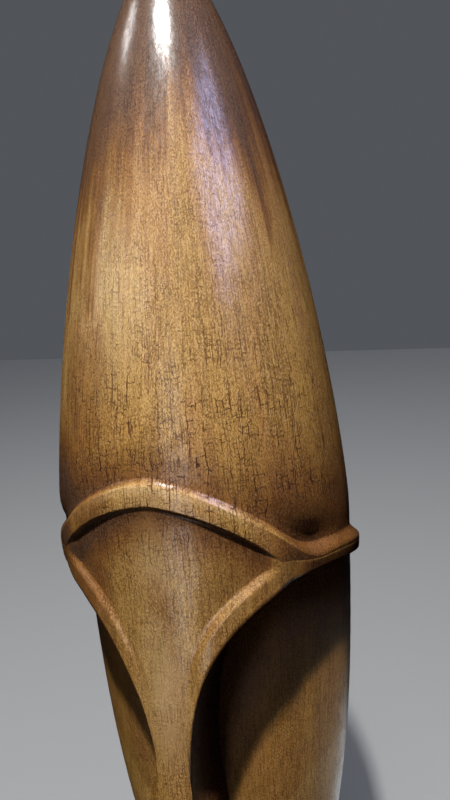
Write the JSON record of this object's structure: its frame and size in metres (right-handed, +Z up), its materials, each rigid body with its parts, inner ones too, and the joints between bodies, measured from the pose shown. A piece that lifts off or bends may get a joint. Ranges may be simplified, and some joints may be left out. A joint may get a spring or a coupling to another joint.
{
  "type": "carved wooden face sculpture",
  "caption": "Tall carved wooden face on a short neck: pointed head, arched brow band, long narrow nose and cut-back cheeks. Stands on its flat foot as an ornament.",
  "frame": {"origin": "centre of the flat underside of the foot", "axes": "+Z up through the point of the head; the face looks to -Y; +X is to the right of someone facing it"},
  "size_m": [0.1582, 0.1468, 0.6],
  "materials": {
    "carved_wood": "honey-brown stained and varnished wood, fine upright cracks, darker in the hollows and at the top"
  },
  "bodies": {
    "root": {"face_sculpture": "carved_wood"}
  },
  "joints": []
}
